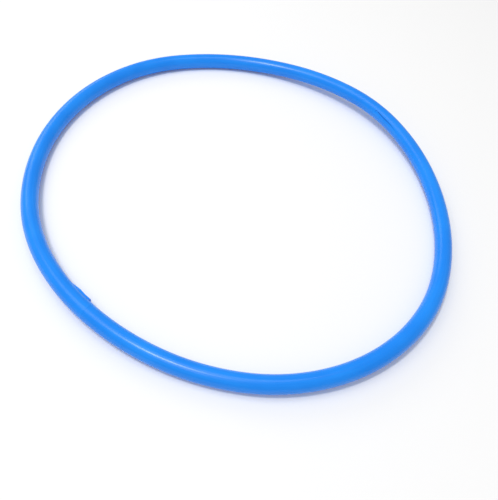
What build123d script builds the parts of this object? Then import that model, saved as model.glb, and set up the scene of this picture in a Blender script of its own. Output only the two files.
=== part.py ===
from build123d import *

import os
from math import cos, radians, sin

# Throwing ring for lawn games: one plastic tube bent round, its two ends joined over a plug.
# The ring lies on the ground plane with +Z up and its middle on the origin. Lengths are in
# millimetres and angles in degrees, counted anticlockwise from +X as seen from above.

# Ring
ring_diameter = 250.0  # across the outside in plan, on average
tube_diameter = 9.5  # outside of the tube
bend_flattening = 0.05  # what bending takes off the tube's radius in plan, and adds upright
wall = 1.3  # tube wall
seam_angle = 237.5  # where the tube's two ends meet
seam_gap = 0.1  # between the two end faces

# The tube has taken a set, a little out of round and a little out of flat, in waves that go one
# to four times round. Each wave is its count in one turn, its height and the angle of a crest.
oval_height = 5.0  # the ring is flattest at the joint, where the plug holds the tube straighter
three_lobe_height = 0.6
four_lobe_height = 0.8
round_waves = (
    (2, oval_height, 135.0),
    (3, three_lobe_height, 65.0),
    (4, four_lobe_height, 39.0),
)
tilt_height = 0.8
saddle_height = 1.2
three_wave_height = 0.6
four_wave_height = 1.0
lift_waves = (
    (1, tilt_height, 36.0),
    (2, saddle_height, 49.0),
    (3, three_wave_height, 59.0),
    (4, four_wave_height, 47.0),
)
arc_count = 18  # arcs in the centreline

# Plug, gripped half: teeth hold it in the tube's starting end for good
grip_length = 16.0
tooth_count = 3
tooth_depth = 0.45  # from tip to root, on the radius
tooth_clearance = 0.02  # the wall has stretched over the tips
tooth_overlap = 0.2  # of each tooth with the one before it

# Plug, sliding half: it goes into the tube's closing end, and its spring finger locks there
slide_length = 22.0
slide_clearance = 0.08
lead_in = 0.8  # cone at the end that goes in first
socket_margin = 0.5  # bore beyond each end of the plug
finger_thickness = 1.5
finger_slot = 1.3  # free height behind the finger, for it to spring into
finger_root = 3.0  # from the seam to the foot of the finger

# Catch on the finger, standing in a window on the inner side of the ring
catch_setback = 4.5  # from the seam to the locking face
catch_land = 7.5
catch_ramp = 6.0
catch_width = 3.6
catch_height = 0.85  # above the tube's surface
catch_dip = 0.15  # hollow along the middle of the land
window_clearance = 0.15

tube_radius = tube_diameter / 2
bore_radius = tube_radius - wall
slide_radius = bore_radius - bend_flattening - slide_clearance
tooth_radius = bore_radius - bend_flattening - tooth_clearance
tooth_length = grip_length / tooth_count
ring_radius = (ring_diameter - tube_diameter) / 2 + bend_flattening
finger_top = slide_radius - finger_thickness
catch_foot = slide_radius - finger_thickness / 2
catch_toe = catch_setback + catch_land + catch_ramp


def waves(table, angle):
    """Sum of a table of waves at an angle."""
    return sum(height * cos(radians(count * (angle - crest))) for count, height, crest in table)


def spot(angle):
    """Point of the centreline at an angle, before the ring is centred and rested on the ground."""
    reach = ring_radius + waves(round_waves, angle)
    return Vector(reach * cos(radians(angle)), reach * sin(radians(angle)), waves(lift_waves, angle))


# Centreline, once round from the seam: arcs that each leave along the end of the one before
arcs = []
heading = spot(seam_angle + 0.05) - spot(seam_angle - 0.05)
with BuildLine() as centreline:
    for step in range(arc_count):
        first, last = (seam_angle + 360 * end / arc_count for end in (step, step + 1))
        arcs.append(TangentArc(spot(first), spot(last), tangent=heading))
        heading = arcs[-1] % 1
extent = centreline.line.bounding_box()
rest_height = tube_radius + bend_flattening - extent.min.Z
placing = Location((-extent.center().X, -extent.center().Y, rest_height))
arcs = [arc.moved(placing) for arc in arcs]
grip_arc, slide_arc = arcs[0], arcs[-1].reversed()


def stretch(arc, near, far):
    """Part of an arc that leaves the seam, between two distances from the seam."""
    return arc.trim(near / arc.length, far / arc.length)


def across(arc, distance):
    """Plane across an arc that leaves the seam, its X pointing out of the ring."""
    centre = arc.position_at(distance / arc.length)
    return Plane(centre, x_dir=(centre.X, centre.Y, 0), z_dir=arc.tangent_at(distance / arc.length))


with BuildPart() as ring_tube:
    with BuildLine() as tube_line:
        add(stretch(grip_arc, seam_gap / 2, grip_arc.length))
        add(arcs[1:-1])
        add(stretch(slide_arc, seam_gap / 2, slide_arc.length))
    with BuildSketch(across(grip_arc, seam_gap / 2)):
        Ellipse(tube_radius - bend_flattening, tube_radius + bend_flattening)
    sweep(path=tube_line.wires()[0])
    # Bore, as deep as the plug goes into each end
    for arc, depth in ((grip_arc, grip_length), (slide_arc, slide_length)):
        with BuildSketch(across(arc, seam_gap / 2)):
            Ellipse(bore_radius - bend_flattening, bore_radius + bend_flattening)
        sweep(path=stretch(arc, seam_gap / 2, depth + socket_margin), mode=Mode.SUBTRACT)
    # Window for the catch
    window = catch_setback - window_clearance, catch_toe + window_clearance
    with BuildSketch(across(slide_arc, window[0])):
        with Locations((-tube_radius, 0)):
            Rectangle(tube_diameter, catch_width + 2 * window_clearance)
    sweep(path=stretch(slide_arc, *window), mode=Mode.SUBTRACT)
ring_tube.part.label = "ring_tube"

with BuildPart() as joint_plug:
    # Sliding half, with a cone at its end
    with BuildSketch(across(slide_arc, 0)):
        Circle(slide_radius)
    sweep(path=stretch(slide_arc, 0, slide_length - lead_in))
    with Locations(across(slide_arc, slide_length - lead_in)):
        Cone(slide_radius, slide_radius - lead_in, lead_in, align=(Align.CENTER, Align.CENTER, Align.MIN))
    # Gripped half: a row of saw teeth that slope towards the plug's end
    for tooth in range(tooth_count):
        with Locations(across(grip_arc, tooth * tooth_length - tooth_overlap)):
            Cone(
                tooth_radius,
                tooth_radius - tooth_depth,
                tooth_length + tooth_overlap,
                align=(Align.CENTER, Align.CENTER, Align.MIN),
            )
    # Slot that frees the spring finger
    with BuildSketch(across(slide_arc, finger_root)):
        with Locations((-finger_top + finger_slot / 2, 0)):
            Rectangle(finger_slot, tube_diameter)
    sweep(path=stretch(slide_arc, finger_root, slide_length), mode=Mode.SUBTRACT)
    # Catch: locking face, hollowed land and entry ramp
    land_middle = catch_setback + catch_land / 2
    land_end = catch_setback + catch_land
    for near, near_height, far, far_height in (
        (catch_setback, catch_height, land_middle, catch_height - catch_dip),
        (land_middle, catch_height - catch_dip, land_end, catch_height),
        (land_end, catch_height, catch_toe, 0),
    ):
        for distance, height in ((near, near_height), (far, far_height)):
            with BuildSketch(across(slide_arc, distance)):
                Circle(tube_radius + height)
                with Locations((-tube_radius, 0)):
                    Rectangle(2 * (tube_radius - catch_foot), catch_width, mode=Mode.INTERSECT)
        loft()
joint_plug.part.label = "joint_plug"

os.makedirs("parts", exist_ok=True)
for piece in (ring_tube.part, joint_plug.part):
    export_step(piece, f"parts/{piece.label}.step")
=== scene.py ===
"""Blue plastic throwing ring on a pale studio floor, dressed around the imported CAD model.

The ring is one tube bent round and closed over a plug. This script gives the tube a finely
divided surface and a plastic finish, dresses the plug that shows at the tube's window, and sets
the floor, the lamps and the camera. Lengths are in metres, and angles in degrees unless a name
says radians.
"""

import logging
from collections.abc import Callable
from dataclasses import dataclass, field
from enum import Enum
from typing import Any

import bpy
import numpy as np
from mathutils import Matrix, Vector


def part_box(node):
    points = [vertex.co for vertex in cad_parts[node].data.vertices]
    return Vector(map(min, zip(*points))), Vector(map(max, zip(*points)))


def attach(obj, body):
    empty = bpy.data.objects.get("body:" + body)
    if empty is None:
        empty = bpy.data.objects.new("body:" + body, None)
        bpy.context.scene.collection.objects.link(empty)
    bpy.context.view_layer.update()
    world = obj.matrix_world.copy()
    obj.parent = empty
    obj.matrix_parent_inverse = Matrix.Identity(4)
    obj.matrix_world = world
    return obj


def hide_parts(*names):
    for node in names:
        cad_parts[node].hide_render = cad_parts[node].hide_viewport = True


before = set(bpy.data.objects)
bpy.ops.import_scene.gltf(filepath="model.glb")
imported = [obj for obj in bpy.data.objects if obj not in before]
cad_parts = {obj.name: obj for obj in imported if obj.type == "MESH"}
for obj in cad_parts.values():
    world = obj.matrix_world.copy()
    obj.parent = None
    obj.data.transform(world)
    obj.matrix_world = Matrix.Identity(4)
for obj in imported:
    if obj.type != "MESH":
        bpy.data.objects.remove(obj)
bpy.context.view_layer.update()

MM = 0.001
LOG = logging.getLogger("ring")

Array = np.ndarray
Colour = tuple[float, float, float]
ShareAt = Callable[[float], float]

BLACK: Colour = (0.0, 0.0, 0.0)
WHITE: Colour = (1.0, 1.0, 1.0)


# ------------------------------------------------------------------------------------------
# Shader graph
# ------------------------------------------------------------------------------------------


class Field:
    """A number that varies over a surface: one output socket, with operators that add Math nodes."""

    def __init__(self, graph: "Graph", socket: bpy.types.NodeSocket) -> None:
        """Wraps a socket of the graph."""
        self.graph = graph
        self.socket = socket

    def _math(self, operation: str, *operands: Any) -> "Field":
        """One Math node over the operands."""
        return self.graph.node("ShaderNodeMath", {"operation": operation}, dict(enumerate(operands)))

    def __add__(self, other: Any) -> "Field":
        """Sum."""
        return self._math("ADD", self, other)

    def __radd__(self, other: Any) -> "Field":
        """Sum, with the number first."""
        return self._math("ADD", other, self)

    def __sub__(self, other: Any) -> "Field":
        """Difference."""
        return self._math("SUBTRACT", self, other)

    def __rsub__(self, other: Any) -> "Field":
        """Difference, with the number first."""
        return self._math("SUBTRACT", other, self)

    def __mul__(self, other: Any) -> "Field":
        """Product."""
        return self._math("MULTIPLY", self, other)

    def __rmul__(self, other: Any) -> "Field":
        """Product, with the number first."""
        return self._math("MULTIPLY", other, self)

    def __truediv__(self, other: Any) -> "Field":
        """Quotient."""
        return self._math("DIVIDE", self, other)

    def __rtruediv__(self, other: Any) -> "Field":
        """Quotient, with the number first."""
        return self._math("DIVIDE", other, self)

    def __abs__(self) -> "Field":
        """Absolute value."""
        return self._math("ABSOLUTE", self)

    def sine(self) -> "Field":
        """Sine of an angle in radians."""
        return self._math("SINE", self)

    def ramp(self, low: float, high: float) -> "Field":
        """Smooth step: 0 at low, 1 at high, eased at both ends. Low may be the larger.

        Args:
            low: value that gives 0.
            high: value that gives 1.

        Returns:
            The eased field, from 0 to 1.
        """
        inputs = {"Value": self, "From Min": low, "From Max": high}
        return self.graph.node("ShaderNodeMapRange", {"interpolation_type": "SMOOTHSTEP"}, inputs)


class Graph:
    """The node tree of one material."""

    def __init__(self, name: str) -> None:
        """Makes an empty material of that name."""
        self.material = bpy.data.materials.new(name)
        self.material.use_nodes = True
        self.tree = self.material.node_tree
        self.tree.nodes.clear()

    def add(self, kind: str, settings: dict[str, Any], inputs: dict[Any, Any]) -> bpy.types.Node:
        """Adds a node, sets its settings, then fills its sockets.

        Args:
            kind: the node's type.
            settings: properties of the node, set first.
            inputs: a value, a Field or an output socket for each input, by name or place.

        Returns:
            The new node.
        """
        made = self.tree.nodes.new(kind)
        for name, value in settings.items():
            setattr(made, name, value)
        for key, value in inputs.items():
            if isinstance(value, Field):
                value = value.socket
            if isinstance(value, bpy.types.NodeSocket):
                self.tree.links.new(value, made.inputs[key])
            else:
                made.inputs[key].default_value = value
        return made

    def node(self, kind: str, settings: dict[str, Any], inputs: dict[Any, Any], output: Any = 0) -> Field:
        """Adds a node and returns one of its outputs as a Field."""
        return Field(self, self.add(kind, settings, inputs).outputs[output])

    def noise(self, where: Any, scale: float, detail: float, roughness: float = 0.5) -> Field:
        """Noise over coordinates, from 0 to 1 and mostly near 0.5."""
        inputs = {"Vector": where, "Scale": scale, "Detail": detail, "Roughness": roughness}
        return self.node("ShaderNodeTexNoise", {}, inputs)

    def blend(self, share: Any, first: Any, second: Any) -> bpy.types.NodeSocket:
        """Colour that goes from the first to the second as the share goes from 0 to 1.

        The Mix node has sockets of one name for each type: its colours are inputs 6 and 7 and
        output 2.
        """
        settings = {"data_type": "RGBA", "clamp_factor": True}
        made = self.add("ShaderNodeMix", settings, {"Factor": share, 6: first, 7: second})
        return made.outputs[2]

    def finish(self, shader: bpy.types.NodeSocket) -> bpy.types.Material:
        """Sends a shader to the material's surface and returns the material."""
        self.add("ShaderNodeOutputMaterial", {}, {"Surface": shader})
        return self.material


def rgba(colour: Colour) -> tuple[float, float, float, float]:
    """The colour with an alpha of one."""
    return (*colour, 1.0)


# ------------------------------------------------------------------------------------------
# Finishes
# ------------------------------------------------------------------------------------------


@dataclass(frozen=True)
class FlowLine:
    """A fine dark line in the tube's skin, where the plastic has flowed together.

    It runs from the start to the end angle round the ring, and meanwhile from start_about to
    end_about about the section, counted from outward over the top. With t the share of its length
    that is run, it lies at start_about + (end_about - start_about) t + sway sin(2 pi t).
    """

    start: float
    end: float
    start_about: float
    end_about: float
    sway: float
    half_width: float
    # Share of the half width that is fully dark
    core: float = 0.3
    # Shares of the length between which it comes in, and between which it fades out
    come_in: tuple[float, float] = (-0.02, 0.08)
    fade_out: tuple[float, float] = (0.7, 1.05)

    def mask(self, graph: Graph, round_ring: Field, about: Field, share_at: ShareAt) -> Field:
        """1 on the line and 0 off it.

        Args:
            graph: the graph of the material that the line is on; not used, as the fields carry their own
                graph.
            round_ring: share of the way round the ring.
            about: angle about the section, in degrees.
            share_at: gives the share of the way round at an angle.

        Returns:
            The mask.
        """
        start, end = share_at(self.start), share_at(self.end)
        run = (round_ring - start) / (end - start)
        middle = self.start_about + run * (self.end_about - self.start_about)
        middle = middle + self.sway * (run * (2 * np.pi)).sine()
        inside = abs(about - middle).ramp(self.half_width, self.core * self.half_width)
        fade_start, fade_end = self.fade_out
        return inside * run.ramp(*self.come_in) * run.ramp(fade_end, fade_start)


@dataclass(frozen=True)
class BluePlastic:
    """What the finishes of the ring's blue polyethylene share."""

    name: str = "blue_plastic"
    colour: Colour = (0.006, 0.242, 0.9)
    pale_colour: Colour = (0.01, 0.278, 0.965)
    mottle: tuple[float, float] = (0.35, 0.65)
    roughness: float = 0.25
    gloss: float = 0.34
    refraction: float = 1.5
    bump_strength: float = 0.25
    bump_depth: float = 0.1 * MM

    def tint(self, graph: Graph, tone: Field) -> bpy.types.NodeSocket:
        """The blue, paler where the tone is high."""
        return graph.blend(tone.ramp(*self.mottle), rgba(self.colour), rgba(self.pale_colour))

    def shade(
        self, graph: Graph, colour: bpy.types.NodeSocket, dulling: Field, height: Field
    ) -> bpy.types.Material:
        """Makes the plastic itself and finishes the material.

        Args:
            graph: the material's graph.
            colour: the colour over the surface.
            dulling: what is added to the roughness.
            height: of the surface, in shares of the bump's depth.

        Returns:
            The material.
        """
        relief = {"Height": height, "Strength": self.bump_strength, "Distance": self.bump_depth}
        bump = graph.add("ShaderNodeBump", {}, relief)
        surface = {
            "Base Color": colour,
            "Roughness": self.roughness + dulling,
            "IOR": self.refraction,
            "Specular IOR Level": self.gloss,
            "Normal": bump.outputs["Normal"],
        }
        return graph.finish(graph.add("ShaderNodeBsdfPrincipled", {}, surface).outputs["BSDF"])


@dataclass(frozen=True)
class TubePlastic(BluePlastic):
    """Smooth glossy polyethylene, coloured through, with the faint drawing of extruded tube."""

    name: str = "tube_plastic"
    coordinates: str = "tube_place"
    # Streaks are drawn out along the tube, clouds are broad, and peel is the skin's fine unevenness
    streak_scale: tuple[float, float, float] = (30.0, 900.0, 900.0)
    cloud_scale: float = 45.0
    cloud_roughness: float = 0.45
    peel_scale: float = 420.0
    cloud_tone: float = 0.6
    streak_tone: float = 0.4
    cloud_relief: float = 0.5
    streak_relief: float = 0.12
    peel_relief: float = 0.08
    line_relief: float = 0.6
    cloud_dulling: float = 0.05
    peel_dulling: float = 0.06
    line_colour: Colour = (0.004, 0.1, 0.5)
    line_strength: float = 0.9

    def material(self, lines: tuple[FlowLine, ...], share_at: ShareAt) -> bpy.types.Material:
        """Builds the finish.

        Args:
            lines: the flow lines to draw.
            share_at: gives the share of the way round the ring at an angle.

        Returns:
            The material.
        """
        graph = Graph(self.name)
        place = graph.add("ShaderNodeAttribute", {"attribute_name": self.coordinates}, {})
        where = place.outputs["Vector"]
        drawn = graph.add("ShaderNodeMapping", {}, {"Vector": where, "Scale": self.streak_scale})
        streaks = graph.noise(drawn.outputs["Vector"], 1.0, detail=2.0)
        clouds = graph.noise(where, self.cloud_scale, detail=2.0, roughness=self.cloud_roughness)
        peel = graph.noise(where, self.peel_scale, detail=3.0)
        mark = self._mark(graph, lines, share_at)
        colour = self.tint(graph, self.cloud_tone * clouds + self.streak_tone * streaks)
        colour = graph.blend(self.line_strength * mark, colour, rgba(self.line_colour))
        dulling = self.peel_dulling * (peel - 0.5) + self.cloud_dulling * (clouds - 0.5)
        height = self.cloud_relief * clouds + self.streak_relief * streaks + self.peel_relief * peel
        return self.shade(graph, colour, dulling, height - self.line_relief * mark)

    @staticmethod
    def _mark(graph: Graph, lines: tuple[FlowLine, ...], share_at: ShareAt) -> Field:
        """1 on the flow lines and 0 off them, by the UV map of whole turns."""
        uv = graph.add("ShaderNodeUVMap", {"uv_map": "UVMap"}, {})
        split = graph.add("ShaderNodeSeparateXYZ", {}, {"Vector": uv.outputs["UV"]})
        round_ring = Field(graph, split.outputs["X"])
        about = Field(graph, split.outputs["Y"]) * 360.0
        return sum(line.mask(graph, round_ring, about, share_at) for line in lines)


@dataclass(frozen=True)
class PlugPlastic(BluePlastic):
    """Moulded plastic of the tube's blue, with the faint grain of a spark-eroded mould."""

    name: str = "plug_plastic"
    roughness: float = 0.3
    bump_strength: float = 0.2
    bump_depth: float = 0.03 * MM
    grain_scale: float = 2200.0
    grain_dulling: float = 0.08
    cloud_scale: float = 160.0

    def material(self) -> bpy.types.Material:
        """Builds the finish and returns it."""
        graph = Graph(self.name)
        where = graph.add("ShaderNodeTexCoord", {}, {}).outputs["Object"]
        grain = graph.noise(where, self.grain_scale, detail=2.0)
        clouds = graph.noise(where, self.cloud_scale, detail=2.0)
        return self.shade(graph, self.tint(graph, clouds), self.grain_dulling * (grain - 0.5), grain)


@dataclass(frozen=True)
class FloorPaper:
    """White paper floor. It lights the object as paper does; camera and gloss see it a shade whiter."""

    name: str = "floor_paper"
    colour: Colour = (0.93, 0.93, 0.93)
    roughness: float = 0.9
    seen_lift: float = 0.03

    def material(self) -> bpy.types.Material:
        """Builds the finish and returns it."""
        graph = Graph(self.name)
        rays = graph.add("ShaderNodeLightPath", {}, {})
        seen = Field(graph, rays.outputs["Is Camera Ray"]) + Field(graph, rays.outputs["Is Glossy Ray"])
        surface = {
            "Base Color": rgba(self.colour),
            "Roughness": self.roughness,
            "Specular IOR Level": 0.0,
            "Emission Color": graph.blend(seen, rgba(BLACK), rgba(WHITE)),
            "Emission Strength": self.seen_lift,
        }
        return graph.finish(graph.add("ShaderNodeBsdfPrincipled", {}, surface).outputs["BSDF"])


# ------------------------------------------------------------------------------------------
# Meshes
# ------------------------------------------------------------------------------------------


def mesh_object(name: str, points: Array, faces: Array) -> bpy.types.Object:
    """A smooth-shaded mesh object at the origin, from arrays of points and quads."""
    mesh = bpy.data.meshes.new(name)
    mesh.from_pydata(points.tolist(), [], faces.tolist())
    mesh.polygons.foreach_set("use_smooth", np.ones(len(mesh.polygons), bool))
    mesh.update()
    piece = bpy.data.objects.new(name, mesh)
    bpy.context.scene.collection.objects.link(piece)
    return piece


def dress(piece: bpy.types.Object, material: bpy.types.Material) -> None:
    """Gives a piece one material over its whole surface."""
    piece.data.materials.clear()
    piece.data.materials.append(material)


class Facing(Enum):
    """Which way the faces of a skin look."""

    OUTWARD = "outward"
    INWARD = "inward"


def grid_faces(rows: int, columns: int, skip: Array, start: int, facing: Facing) -> Array:
    """Quads of a grid that is open along its rows and closed about its columns.

    Args:
        rows: points along the grid.
        columns: points about it.
        skip: mask of (rows - 1, columns) cells that are left open.
        start: index of the grid's first point.
        facing: side that the faces look to.

    Returns:
        Point indices, four to a row.
    """
    here = start + np.arange(rows * columns).reshape(rows, columns)
    ahead = np.roll(here, -1, axis=1)
    quads = np.stack([here[:-1], ahead[:-1], ahead[1:], here[1:]], axis=-1)[~skip]
    return quads[:, ::-1] if facing is Facing.OUTWARD else quads


def strip_faces(outer: Array, inner: Array) -> Array:
    """Quads between two lines of point indices of equal length, wound along the inner one."""
    return np.stack([inner[:-1], inner[1:], outer[1:], outer[:-1]], axis=-1)


# ------------------------------------------------------------------------------------------
# Tube
# ------------------------------------------------------------------------------------------


@dataclass(frozen=True)
class Wave:
    """A wave round the ring: height * cos(count * (angle - crest)), the crest in degrees."""

    count: int
    height: float
    crest: float

    def at(self, angle: Array) -> Array:
        """Height at angles in radians."""
        return self.height * np.cos(self.count * (angle - np.radians(self.crest)))


class ArcChain:
    """Arcs end to end through points, each leaving along the end of the one before.

    An arc's end direction is its start direction mirrored about the chord. With a the angle
    between start direction and chord, its radius is chord / (2 sin a) and it turns through 2 a.
    """

    def __init__(self, points: Array, heading: Array) -> None:
        """Lays the arcs.

        Args:
            points: ends of the arcs, one more than there are arcs.
            heading: direction in which the first arc leaves.
        """
        chords = np.diff(points, axis=0)
        spans = np.linalg.norm(chords, axis=1)
        along = chords / spans[:, None]
        leaving = [heading / np.linalg.norm(heading)]
        for direction in along[:-1]:
            leaving.append(2 * (leaving[-1] @ direction) * direction - leaving[-1])
        self.starts = points[:-1]
        self.leaving = np.array(leaving)
        bend = np.arccos((self.leaving * along).sum(axis=1))
        self.inward = (along - self.leaving * np.cos(bend)[:, None]) / np.sin(bend)[:, None]
        self.radii = spans / (2 * np.sin(bend))
        self.ends = np.cumsum(2 * bend * self.radii)
        self.length = float(self.ends[-1])

    def at(self, distance: Array) -> tuple[Array, Array]:
        """Points and directions at distances along the chain."""
        which = np.clip(np.searchsorted(self.ends, distance), 0, len(self.ends) - 1)
        radius = self.radii[which][:, None]
        turned = (distance - np.r_[0, self.ends][which])[:, None] / radius
        leaving, inward = self.leaving[which], self.inward[which]
        point = self.starts[which] + radius * (np.sin(turned) * leaving + (1 - np.cos(turned)) * inward)
        return point, np.cos(turned) * leaving + np.sin(turned) * inward


@dataclass
class RingTube:
    """The tube: an all but round section carried once round a ring that is a little out of true.

    At angle a the ring's centreline passes through (r cos a, r sin a, z), where r is ring_radius
    plus the round waves and z is the sum of the lift waves. Arcs join such points. The section's
    own axes are outward, level with the ground and square to the line, and up, square to both.
    """

    low: Vector
    high: Vector
    # The radii are 0.02 and 0.01 mm under the CAD's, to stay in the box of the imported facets
    ring_radius: float = 120.28 * MM
    tube_radius: float = 4.74 * MM
    flattening: float = 0.05 * MM
    wall: float = 1.3 * MM
    arc_count: int = 18
    seam_angle: float = 237.5
    seam_gap: float = 0.02 * MM
    round_waves: tuple[Wave, ...] = (
        Wave(2, 5.0 * MM, 135.0),
        Wave(3, 0.6 * MM, 65.0),
        Wave(4, 0.8 * MM, 39.0),
    )
    lift_waves: tuple[Wave, ...] = (
        Wave(1, 0.8 * MM, 36.0),
        Wave(2, 1.2 * MM, 49.0),
        Wave(3, 0.6 * MM, 59.0),
        Wave(4, 1.0 * MM, 47.0),
    )
    # Window for the plug's catch: distances back from the seam, and width
    window_near: float = 4.35 * MM
    window_far: float = 18.15 * MM
    window_width: float = 3.9 * MM
    # Grid: rows from the seam to the window, along the window, and on to the seam again
    rows: int = 480
    window_rows: int = 14
    last_rows: int = 7
    columns: int = 64
    window_columns: int = 8
    # Rounding of the edges of the tube's ends and its window
    edge_radius: float = 0.03 * MM
    edge_segments: int = 2
    edge_angle: float = 50.0
    flow_lines: tuple[FlowLine, ...] = (
        FlowLine(44.3, 33.6, 135.0, 152.0, sway=3.6, half_width=5.04, fade_out=(0.45, 1.05)),
        FlowLine(44.3, 44.9, 135.0, 147.0, sway=0.0, half_width=5.76),
    )
    finish: TubePlastic = field(default_factory=TubePlastic)

    def __post_init__(self) -> None:
        """Lays the centreline and centres it on the box that the tube is to fill."""
        angles = np.radians(self.seam_angle + np.linspace(0, 360, self.arc_count + 1))
        beside_seam = np.radians([-0.05, 0.05])
        before, after = self.spots(angles[0] + beside_seam)
        self.line = ArcChain(self.spots(angles), after - before)
        self.turn = self.line.length
        self.shift = np.zeros(3)
        skin, _ = self.skin(self.tube_radius, self.distances()[0])
        least, most = skin.min(axis=(0, 1)), skin.max(axis=(0, 1))
        self.shift = (np.array(self.low) + np.array(self.high) - least - most) / 2
        self.shift[2] = self.low.z - least[2]
        LOG.info("tube spans %s mm, to fill %s mm", (most - least) / MM, np.array(self.high - self.low) / MM)

    def spots(self, angle: Array) -> Array:
        """Points of the centreline at angles in radians, before the ring is centred."""
        reach = self.ring_radius + sum(wave.at(angle) for wave in self.round_waves)
        lift = sum(wave.at(angle) for wave in self.lift_waves)
        return np.stack([reach * np.cos(angle), reach * np.sin(angle), lift], axis=-1)

    def share_at(self, angle: float) -> float:
        """Share of the way round, from the seam, at which an angle meets the centreline."""
        # A point for about every tenth of a degree
        share = np.linspace(0, 1, 3601)
        point = self.line.at(share * self.turn)[0] + self.shift
        seen = np.degrees(np.unwrap(np.arctan2(point[:, 1], point[:, 0])))
        return float(np.interp(seen[0] + (angle - seen[0]) % 360, seen, share))

    def frames(self, distance: Array) -> tuple[Array, Array, Array]:
        """Centre, outward axis and upward axis of the section.

        Args:
            distance: distances from the seam along the ring.

        Returns:
            Three arrays of vectors, one for each distance.
        """
        centre, ahead = self.line.at(distance)
        centre = centre + self.shift
        outward = centre * (1, 1, 0)
        outward -= ahead * (outward * ahead).sum(axis=-1, keepdims=True)
        outward /= np.linalg.norm(outward, axis=-1, keepdims=True)
        return centre, outward, np.cross(outward, ahead)

    def distances(self) -> tuple[Array, int, int]:
        """Distances of the rows from the seam, and the first and last row of the window."""
        start, end = self.seam_gap / 2, self.turn - self.seam_gap / 2
        far, near = self.turn - self.window_far, self.turn - self.window_near
        long = np.linspace(start, far, self.rows)
        window = np.linspace(far, near, self.window_rows + 1)[1:]
        last = np.linspace(near, end, self.last_rows + 1)[1:]
        return np.concatenate([long, window, last]), self.rows - 1, self.rows - 1 + self.window_rows

    def turns_about(self, radius: float) -> Array:
        """Angles about the section, from the window's middle, with columns on both its sides.

        The window's columns are spread evenly across it, and the rest evenly round what is left.
        The window faces the ring's middle, which is half a turn from outward.
        """
        half = np.arcsin(self.window_width / 2 / (radius + self.flattening))
        side = self.window_columns // 2
        rest = self.columns - self.window_columns
        across = np.linspace(-half, half, self.window_columns + 1)
        round_back = np.linspace(half, 2 * np.pi - half, rest + 1)[1:-1]
        return np.roll(np.concatenate([across, round_back]), -side) + np.pi

    def skin(self, radius: float, distance: Array) -> tuple[Array, Array]:
        """Surface of the section along the ring: centre + outward * x + upward * y.

        With b the angle about the section and f the flattening, x is (radius - f) cos b and y is
        (radius + f) sin b.

        Args:
            radius: of the section.
            distance: of each row from the seam.

        Returns:
            Points (rows, columns, 3) and the angle b of each column.
        """
        centre, outward, upward = self.frames(distance)
        about = self.turns_about(radius)
        x = (radius - self.flattening) * np.cos(about)[:, None]
        y = (radius + self.flattening) * np.sin(about)[:, None]
        return centre[:, None] + outward[:, None] * x + upward[:, None] * y, about

    def build(self) -> bpy.types.Object:
        """Makes the tube, dresses it and returns it, at the origin."""
        distance, first, last = self.distances()
        outside, about = self.skin(self.tube_radius, distance)
        inside, _ = self.skin(self.tube_radius - self.wall, distance)
        rows, columns = outside.shape[:2]
        side = self.window_columns // 2
        open_columns = np.r_[0:side, columns - side : columns]
        skip = np.zeros((rows - 1, columns), bool)
        skip[first:last, open_columns] = True
        count = rows * columns
        outer = np.arange(count).reshape(rows, columns)
        inner = outer + count
        loop = np.r_[0:columns, 0]
        near_side, far_side = columns - side, side
        window_line = np.r_[near_side:columns, 0 : far_side + 1]
        walls = [
            strip_faces(outer[0, loop], inner[0, loop])[:, ::-1],
            strip_faces(outer[-1, loop], inner[-1, loop]),
            strip_faces(outer[first, window_line], inner[first, window_line]),
            strip_faces(outer[last, window_line], inner[last, window_line])[:, ::-1],
            strip_faces(outer[first : last + 1, near_side], inner[first : last + 1, near_side])[:, ::-1],
            strip_faces(outer[first : last + 1, far_side], inner[first : last + 1, far_side]),
        ]
        faces = np.concatenate(
            [
                grid_faces(rows, columns, skip, 0, Facing.OUTWARD),
                grid_faces(rows, columns, skip, count, Facing.INWARD),
                *walls,
            ]
        )
        points = np.concatenate([outside.reshape(-1, 3), inside.reshape(-1, 3)])
        piece = mesh_object("tube_surface", points, faces)
        self._coordinates(piece, distance, about)
        bevel = piece.modifiers.new("rim", "BEVEL")
        bevel.width = self.edge_radius
        bevel.segments = self.edge_segments
        bevel.limit_method = "ANGLE"
        bevel.angle_limit = np.radians(self.edge_angle)
        bevel.harden_normals = True
        dress(piece, self.finish.material(self.flow_lines, self.share_at))
        return piece

    def _coordinates(self, piece: bpy.types.Object, distance: Array, about: Array) -> None:
        """Writes the place on the tube: (distance, section x, section y), and a UV map of whole turns."""
        mesh = piece.data
        rows, columns = len(distance), len(about)
        along = np.repeat(distance, columns)
        x, y = (self.tube_radius * np.tile(part(about), rows) for part in (np.cos, np.sin))
        place = np.stack([along, x, y], axis=-1)
        attribute = mesh.attributes.new(self.finish.coordinates, "FLOAT_VECTOR", "POINT")
        attribute.data.foreach_set("vector", np.tile(place, (2, 1)).astype(np.float32).ravel())
        corner = np.zeros(len(mesh.loops), np.int32)
        mesh.loops.foreach_get("vertex_index", corner)
        column = corner % columns
        u = np.tile(along, 2)[corner] / self.turn
        v = (about[column] % (2 * np.pi)) / (2 * np.pi)
        # The quads that close the turn run on past 1
        quads = v.reshape(-1, 4)
        closing = np.ptp(quads, axis=1, keepdims=True) > 0.5
        v = (quads + (closing & (quads < 0.5))).ravel()
        layer = mesh.uv_layers.new(name="UVMap")
        layer.data.foreach_set("uv", np.stack([u, v], axis=-1).astype(np.float32).ravel())


# ------------------------------------------------------------------------------------------
# Studio
# ------------------------------------------------------------------------------------------


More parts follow.
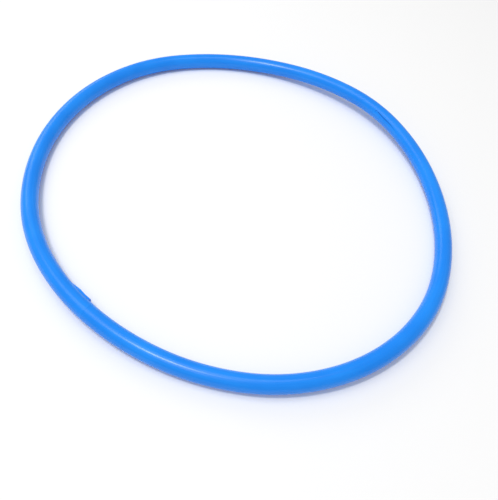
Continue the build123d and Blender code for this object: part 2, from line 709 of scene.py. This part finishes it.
@dataclass(frozen=True)
class Lamp:
    """A soft white panel that faces the origin, its first side running along a direction."""

    name: str
    place: tuple[float, float, float]
    along: tuple[float, float, float]
    size: tuple[float, float]
    watts: float

    def build(self) -> bpy.types.Object:
        """Makes the lamp and returns it."""
        data = bpy.data.lights.new(self.name, "AREA")
        data.shape = "RECTANGLE"
        data.size, data.size_y = self.size
        data.energy = self.watts
        lamp = bpy.data.objects.new(self.name, data)
        back = Vector(self.place).normalized()
        across = back.cross(Vector(self.along)).normalized()
        turn = Matrix((across.cross(back), across, back)).transposed()
        lamp.matrix_world = Matrix.Translation(self.place) @ turn.to_4x4()
        bpy.context.scene.collection.objects.link(lamp)
        return lamp


@dataclass(frozen=True)
class Studio:
    """Floor, lamps, sky and camera."""

    floor_size: float = 6.0
    sky: Colour = WHITE
    sky_strength: float = 0.46
    lamps: tuple[Lamp, ...] = (
        Lamp("key", (-0.3, -0.25, 1.3), (0.8, 0.6, 0.0), (0.3, 0.12), 6.1),
        Lamp("fill", (0.0, 0.2, 1.3), (1.0, 0.0, 0.0), (0.5, 0.4), 1.4),
        Lamp("front", (-0.32, -0.75, 1.3), (1.0, 0.0, 0.0), (0.3, 0.3), 1.2),
        Lamp("side", (-0.75, 0.1, 1.3), (0.0, 1.0, 0.0), (0.8, 0.7), 3.3),
        Lamp("window", (-0.78, 0.92, 0.7), (0.76, 0.65, 0.0), (0.7, 0.5), 2.0),
    )
    camera_place: tuple[float, float, float] = (0.00973, -0.22679, 0.24854)
    camera_aim: tuple[float, float, float] = (0.01085, -0.04066, 0.00012)
    camera_roll: float = 8.77
    lens: float = 40.51
    nearest_seen: float = 0.01

    def build(self) -> None:
        """Makes everything round the object."""
        self._floor()
        self._sky()
        for lamp in self.lamps:
            lamp.build()
        self._camera()
        bpy.context.scene.view_settings.view_transform = "Standard"

    def _floor(self) -> None:
        """Lays the paper."""
        half = self.floor_size / 2
        points = np.array([(-half, -half, 0), (half, -half, 0), (half, half, 0), (-half, half, 0)], float)
        floor = mesh_object("floor", points, np.array([(0, 1, 2, 3)]))
        dress(floor, FloorPaper().material())

    def _sky(self) -> None:
        """Fills the room with an even light."""
        world = bpy.data.worlds.new("studio")
        world.use_nodes = True
        background = world.node_tree.nodes["Background"]
        background.inputs["Color"].default_value = rgba(self.sky)
        background.inputs["Strength"].default_value = self.sky_strength
        bpy.context.scene.world = world

    def _camera(self) -> None:
        """Stands the camera up, turned about its own line of sight."""
        data = bpy.data.cameras.new("camera")
        data.lens = self.lens
        data.clip_start = self.nearest_seen
        camera = bpy.data.objects.new("camera", data)
        place = Vector(self.camera_place)
        look = (Vector(self.camera_aim) - place).normalized()
        level = look.cross(Vector((0.0, 0.0, 1.0))).normalized()
        roll = Matrix.Rotation(np.radians(-self.camera_roll), 3, look)
        right = roll @ level
        up = roll @ level.cross(look)
        turn = Matrix((right, up, -look)).transposed()
        camera.matrix_world = Matrix.Translation(place) @ turn.to_4x4()
        bpy.context.scene.collection.objects.link(camera)
        bpy.context.scene.camera = camera


# ------------------------------------------------------------------------------------------
# Assembly
# ------------------------------------------------------------------------------------------


def main() -> None:
    """Builds the pieces in order and reports each."""
    logging.basicConfig(level=logging.INFO, format="%(name)s: %(message)s")
    tube = RingTube(*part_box("ring_tube"))
    piece = tube.build()
    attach(piece, "root")
    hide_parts("ring_tube")
    LOG.info("tube_surface: %d faces", len(piece.data.polygons))

    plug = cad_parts["joint_plug"]
    dress(plug, PlugPlastic().material())
    LOG.info("joint_plug: dressed")

    Studio().build()


if __name__ == "__main__":
    main()
